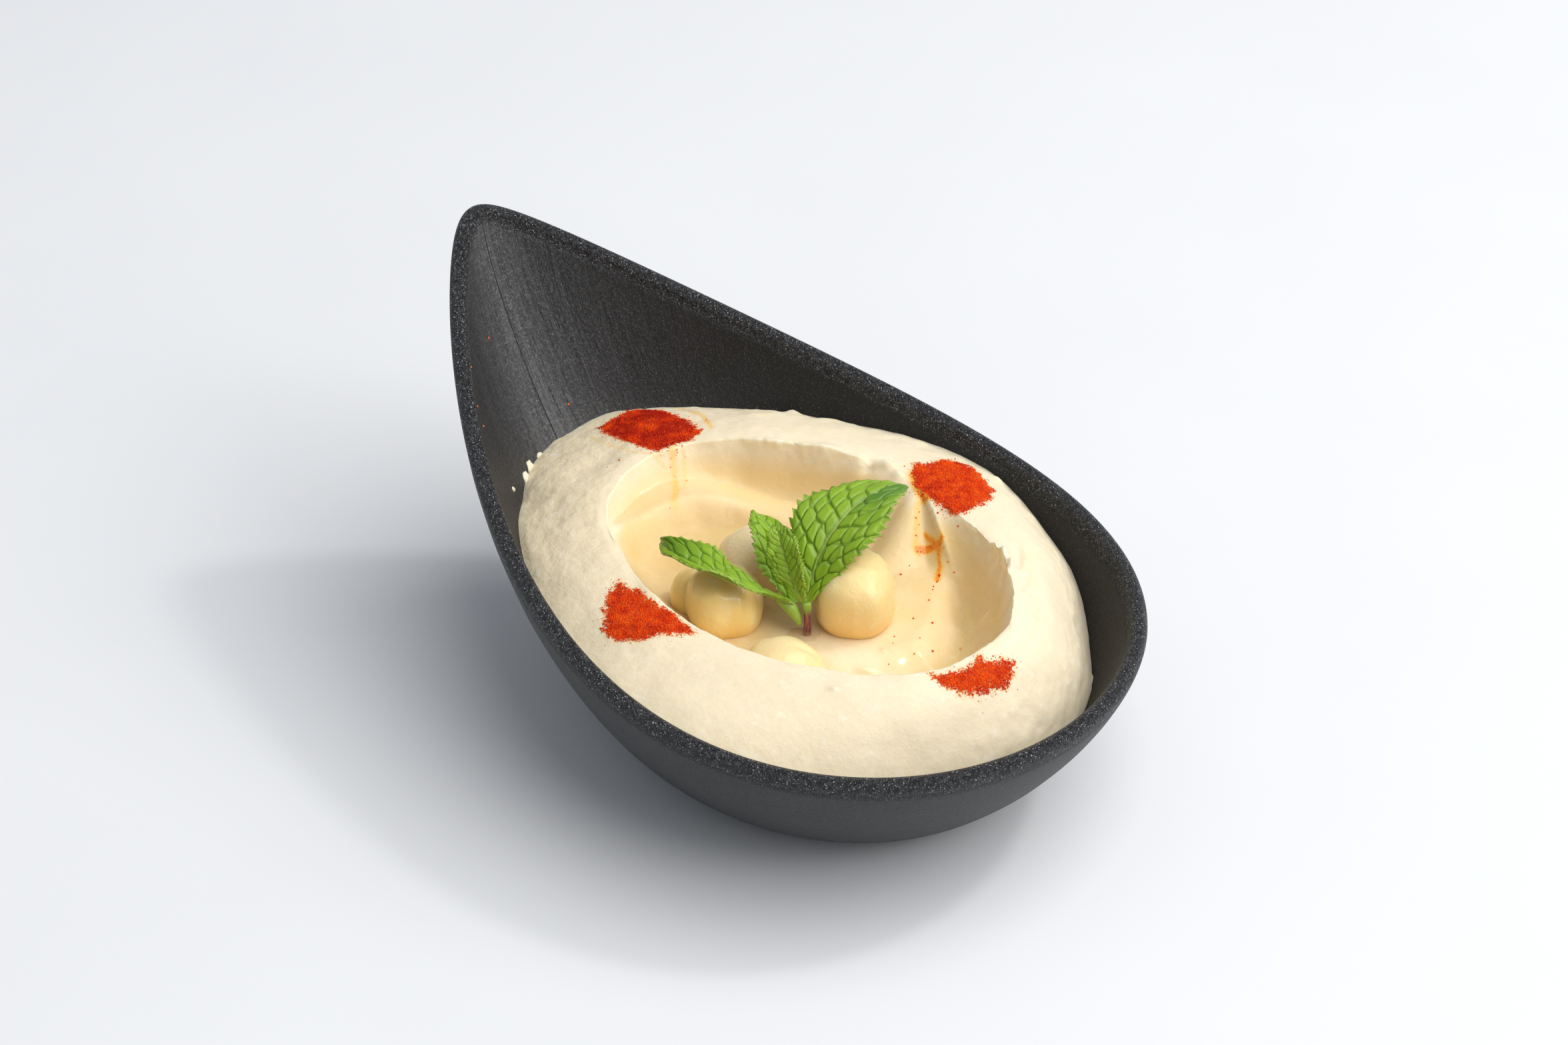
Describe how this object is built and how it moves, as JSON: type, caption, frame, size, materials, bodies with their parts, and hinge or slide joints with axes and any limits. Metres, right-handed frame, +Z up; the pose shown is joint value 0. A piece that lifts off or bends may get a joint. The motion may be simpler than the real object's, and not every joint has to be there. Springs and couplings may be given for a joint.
{
  "type": "hummus in a drop-shaped bowl",
  "caption": "Small drop-shaped black bowl of hummus with a spooned well of olive oil, whole chickpeas, a mint sprig and red paprika round its lip.",
  "frame": {"origin": "on the table plane, below the middle of the bowl's length and width", "axes": "+Z up; the bowl's raised tip points to -X and its round end to +X; +Y to the back"},
  "size_m": [0.1378, 0.094, 0.0666],
  "materials": {
    "black_melamine": "satin",
    "hummus": "matte",
    "chickpea": "wet satin",
    "olive_oil": "glossy liquid",
    "mint_leaf": "satin",
    "mint_stem": "satin"
  },
  "bodies": {
    "root": {"bowl": "black_melamine", "hummus": "hummus", "oil_trough": "olive_oil", "oil_basin": "olive_oil", "chickpea_right": "chickpea", "chickpea_left": "chickpea", "chickpea_back": "chickpea", "chickpea_front": "chickpea", "chickpea_half": "chickpea", "mint_stem": "mint_stem", "mint_leaf_large": "mint_leaf", "mint_leaf_back": "mint_leaf", "mint_leaf_small": "mint_leaf", "mint_leaf_left": "mint_leaf"}
  },
  "joints": []
}
